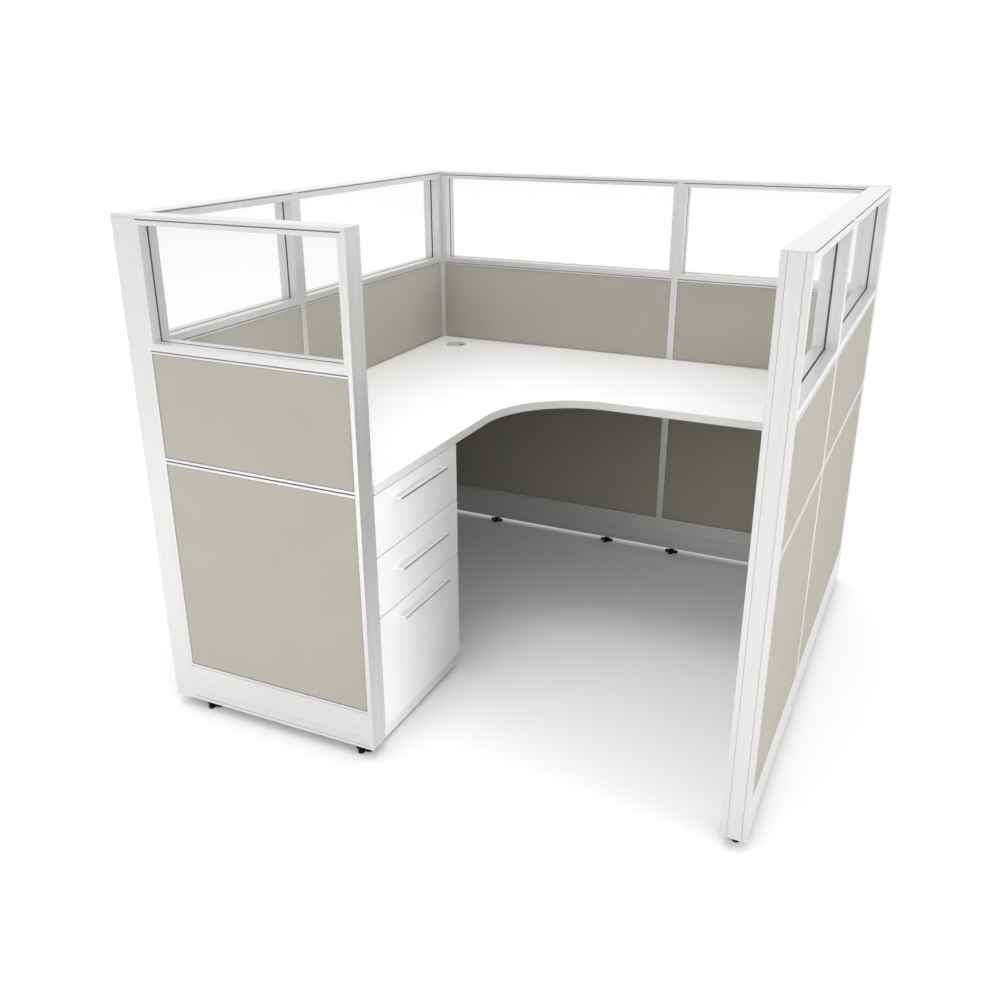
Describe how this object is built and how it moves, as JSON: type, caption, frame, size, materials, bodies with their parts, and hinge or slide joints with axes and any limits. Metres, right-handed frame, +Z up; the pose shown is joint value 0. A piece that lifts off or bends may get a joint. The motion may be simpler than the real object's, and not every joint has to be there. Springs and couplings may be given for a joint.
{
  "type": "cubicle workstation",
  "caption": "Glazed fabric panels stand round three sides and a short front wing; an L-shaped worktop hangs inside, with a drawer pedestal under its left run.",
  "frame": {"origin": "on the floor, in the middle of the square footprint", "axes": "+X to the user's right along the back wall, +Y to the back wall, +Z up"},
  "size_m": [1.6, 1.6, 1.3475],
  "materials": {
    "frame_white": "satin platinum-white powder coat",
    "frame_steel": "grey primer",
    "tile_fabric": "woven wool-grey panel cloth",
    "pane_glass": "clear",
    "black_rubber": "matt",
    "black_plastic": "matt black",
    "bare_aluminium": "mill finish",
    "worktop_laminate": "white laminate on particleboard",
    "bracket_steel": "dark grey powder coat",
    "zinc_steel": "bright zinc plate",
    "grommet_plastic": "light grey, satin",
    "pedestal_white": "white powder coat, satin",
    "drawer_steel": "grey powder coat",
    "pull_metal": "satin"
  },
  "bodies": {
    "workstation": {"wing_frame": "frame_steel", "wing_trim": "frame_white", "wing_tiles_outer": "tile_fabric", "wing_tiles_inner": "tile_fabric", "wing_glass_frame": "frame_white", "wing_glass": "pane_glass", "wing_top_cap": "frame_white", "right_wall_frame": "frame_steel", "right_wall_trim": "frame_white", "right_wall_tiles_outer": "tile_fabric", "right_wall_tiles_inner": "tile_fabric", "right_wall_glass_frame": "frame_white", "right_wall_glass": "pane_glass", "right_wall_top_cap": "frame_white", "back_wall_frame": "frame_steel", "back_wall_trim": "frame_white", "back_wall_tiles_outer": "tile_fabric", "back_wall_tiles_inner": "tile_fabric", "back_wall_glass_frame": "frame_white", "back_wall_glass": "pane_glass", "back_wall_top_cap": "frame_white", "left_wall_frame": "frame_steel", "left_wall_trim": "frame_white", "left_wall_tiles_outer": "tile_fabric", "left_wall_tiles_inner": "tile_fabric", "left_wall_glass_frame": "frame_white", "left_wall_glass": "pane_glass", "left_wall_top_cap": "frame_white", "base_covers_outer": "frame_white", "base_covers_inner": "frame_white", "glazing_gaskets": "black_rubber", "joining_strips": "bare_aluminium", "end_strips": "frame_white", "post_front_left": "frame_white", "post_back_left": "frame_white", "post_back_right": "frame_white", "post_caps": "frame_white", "levelling_glides": "black_plastic", "worktop": "worktop_laminate", "worktop_brackets": "bracket_steel", "fixing_screws": "zinc_steel", "grommet_liner": "grommet_plastic", "pedestal_case": "pedestal_white", "slide_case_members": "zinc_steel"},
    "top_drawer": {"top_drawer_front": "pedestal_white", "top_drawer_box": "drawer_steel", "top_drawer_pull": "pull_metal", "top_drawer_slide_inner": "zinc_steel"},
    "top_drawer_slides": {"top_drawer_slide_middle": "zinc_steel"},
    "middle_drawer": {"middle_drawer_front": "pedestal_white", "middle_drawer_box": "drawer_steel", "middle_drawer_pull": "pull_metal", "middle_drawer_slide_inner": "zinc_steel"},
    "middle_drawer_slides": {"middle_drawer_slide_middle": "zinc_steel"},
    "file_drawer": {"file_drawer_front": "pedestal_white", "file_drawer_box": "drawer_steel", "file_drawer_pull": "pull_metal", "file_drawer_slide_inner": "zinc_steel"},
    "file_drawer_slides": {"file_drawer_slide_middle": "zinc_steel"},
    "grommet_cap": {"grommet_cap": "grommet_plastic"}
  },
  "joints": [
    {"name": "top_drawer_slide", "type": "slide", "parent": "workstation", "child": "top_drawer", "axis": [1, 0, 0], "range_m": [0, 0.48]},
    {"name": "top_drawer_middle_member", "type": "slide", "parent": "workstation", "child": "top_drawer_slides", "axis": [1, 0, 0], "range_m": [0, 0.24]},
    {"name": "middle_drawer_slide", "type": "slide", "parent": "workstation", "child": "middle_drawer", "axis": [1, 0, 0], "range_m": [0, 0.48]},
    {"name": "middle_drawer_middle_member", "type": "slide", "parent": "workstation", "child": "middle_drawer_slides", "axis": [1, 0, 0], "range_m": [0, 0.24]},
    {"name": "file_drawer_slide", "type": "slide", "parent": "workstation", "child": "file_drawer", "axis": [1, 0, 0], "range_m": [0, 0.48]},
    {"name": "file_drawer_middle_member", "type": "slide", "parent": "workstation", "child": "file_drawer_slides", "axis": [1, 0, 0], "range_m": [0, 0.24]},
    {"name": "grommet_cap_turn", "type": "hinge", "parent": "workstation", "child": "grommet_cap", "pos_m": [-0.63, 0.63, 0.748], "axis": [0, 0, 1], "continuous": true}
  ],
  "couplings": [
    {"joint": "top_drawer_middle_member", "follows": "top_drawer_slide", "ratio": 0.5},
    {"joint": "middle_drawer_middle_member", "follows": "middle_drawer_slide", "ratio": 0.5},
    {"joint": "file_drawer_middle_member", "follows": "file_drawer_slide", "ratio": 0.5}
  ]
}
